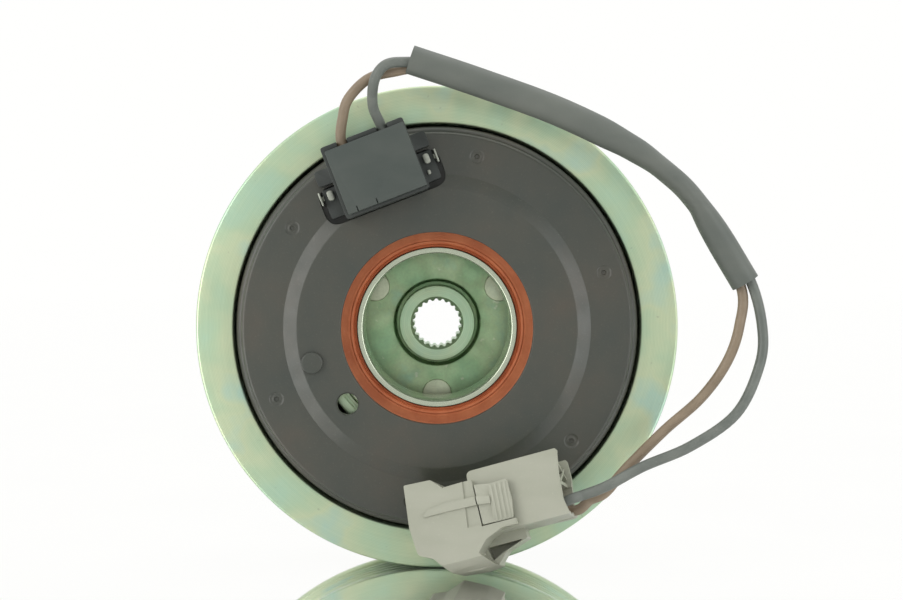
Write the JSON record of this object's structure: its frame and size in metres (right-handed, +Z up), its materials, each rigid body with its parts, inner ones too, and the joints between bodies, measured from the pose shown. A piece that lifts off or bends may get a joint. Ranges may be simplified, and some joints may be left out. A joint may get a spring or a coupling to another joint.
{
  "type": "electromagnetic clutch",
  "caption": "Electromagnetic clutch: ribbed belt pulley on a sealed bearing, potted field coil with plugged leads, and a splined hub carrying a sprung armature plate.",
  "frame": {"origin": "on the shaft axis, level with the volume centroid of the solids, 19.8 mm in front of the rear face of the coil mounting plate's platform, which seats on the compressor", "axes": "+Y along the shaft axis from the compressor to the armature, +Z up; the terminal block is at the upper left as seen from the compressor"},
  "size_m": [0.1321, 0.0709, 0.1217],
  "materials": {
    "zinc": "yellow-green chromated zinc over turned steel",
    "black_steel": "black electrocoat, satin",
    "bearing_steel": "ground bearing steel",
    "spring_steel": "rolled spring steel strip",
    "tinned_metal": "tinned brass",
    "copper": "enamelled copper wire",
    "seal_rubber": "orange-red moulded rubber",
    "black_rubber": "black moulded rubber",
    "black_plastic": "black glass-filled nylon",
    "sleeve_plastic": "dark grey soft tube",
    "grey_plastic": "warm grey moulded nylon",
    "brown_jacket": "brown wire insulation",
    "black_jacket": "black wire insulation",
    "resin": "dark cast epoxy"
  },
  "bodies": {
    "stator": {"mounting_plate": "black_steel", "coil_housing": "black_steel", "coil_bobbin": "black_plastic", "coil_winding": "copper", "coil_potting": "resin", "bearing_inner_ring": "bearing_steel", "terminal_base": "black_plastic", "terminal_cover": "black_plastic", "terminal_clip_left": "tinned_metal", "terminal_clip_right": "tinned_metal", "surge_diode": "resin", "lead_wire_brown": "brown_jacket", "lead_wire_black": "black_jacket", "wire_sleeve": "sleeve_plastic", "plug_housing": "grey_plastic", "plug_pin_1": "tinned_metal", "plug_pin_2": "tinned_metal", "wire_seal_1": "seal_rubber", "wire_seal_2": "seal_rubber"},
    "rotor": {"rotor_pulley": "zinc", "bearing_outer_ring": "bearing_steel", "bearing_seal_rear": "seal_rubber", "bearing_seal_front": "seal_rubber"},
    "ball_rows": {"bearing_balls_rear": "bearing_steel", "bearing_balls_front": "bearing_steel"},
    "hub": {"hub": "zinc", "stop_plate": "zinc", "leaf_spring_1": "spring_steel", "leaf_spring_2": "spring_steel", "leaf_spring_3": "spring_steel", "hub_rivet_1": "zinc", "hub_rivet_2": "zinc", "hub_rivet_3": "zinc", "rubber_stop_1": "black_rubber", "rubber_stop_2": "black_rubber", "rubber_stop_3": "black_rubber"},
    "armature": {"armature_plate": "zinc", "armature_rivet_1": "zinc", "armature_rivet_2": "zinc", "armature_rivet_3": "zinc"},
    "lock_lever": {"lock_lever": "grey_plastic"}
  },
  "joints": [
    {"name": "rotor_spin", "type": "hinge", "parent": "stator", "child": "rotor", "pos_m": [0, -0.0038, 0], "axis": [0, 1, 0], "continuous": true},
    {"name": "ball_orbit", "type": "hinge", "parent": "stator", "child": "ball_rows", "pos_m": [0, -0.0038, 0], "axis": [0, 1, 0], "continuous": true},
    {"name": "hub_spin", "type": "hinge", "parent": "stator", "child": "hub", "pos_m": [0, 0.0182, 0], "axis": [0, 1, 0], "continuous": true},
    {"name": "armature_pull", "type": "slide", "parent": "hub", "child": "armature", "axis": [0, -1, 0], "range_m": [0, 0.00048], "stiffness_N_per_m": 20000, "springref_m": -0.0005, "deforming": ["leaf_spring_1", "leaf_spring_2", "leaf_spring_3"]},
    {"name": "lock_lever_press", "type": "hinge", "parent": "stator", "child": "lock_lever", "pos_m": [0.00907, -0.04037, -0.03852], "axis": [-0.2255, 0.2588, 0.9392], "range_deg": [0, 5], "stiffness_Nm_per_rad": 0.5}
  ],
  "couplings": [
    {"joint": "ball_orbit", "follows": "rotor_spin", "ratio": 0.5563}
  ]
}
